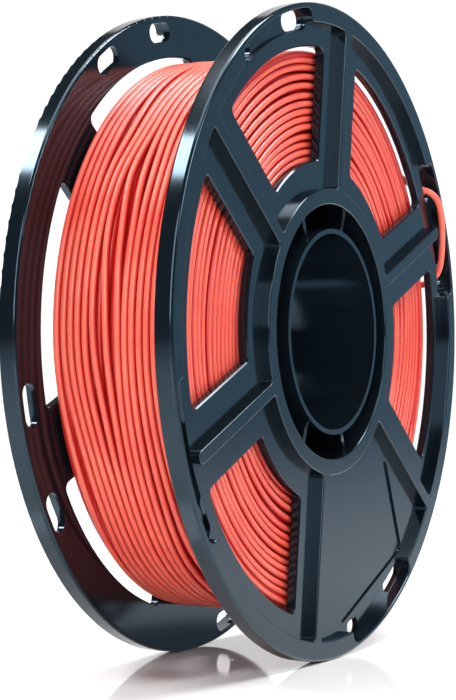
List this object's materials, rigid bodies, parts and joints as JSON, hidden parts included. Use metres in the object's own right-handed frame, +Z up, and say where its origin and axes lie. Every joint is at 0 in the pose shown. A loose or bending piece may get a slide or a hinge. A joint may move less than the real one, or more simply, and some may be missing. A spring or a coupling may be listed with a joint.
{
  "type": "filament spool",
  "caption": "Spool of wound filament between two windowed moulded flanges, with a central bore and its free end held in a rim slot.",
  "frame": {"origin": "centre of the bore, halfway between the two outer faces", "axes": "+Y along the spool's axis towards the rear flange, +Z up, +X to the right seen from the front"},
  "size_m": [0.16, 0.0452, 0.16],
  "materials": {
    "spool_plastic": "polished dark blue-grey moulding",
    "filament": "satin coral extruded strand"
  },
  "bodies": {
    "root": {"front_half": "spool_plastic", "rear_half": "spool_plastic", "wound_filament": "filament", "filament_tail": "filament"}
  },
  "joints": []
}
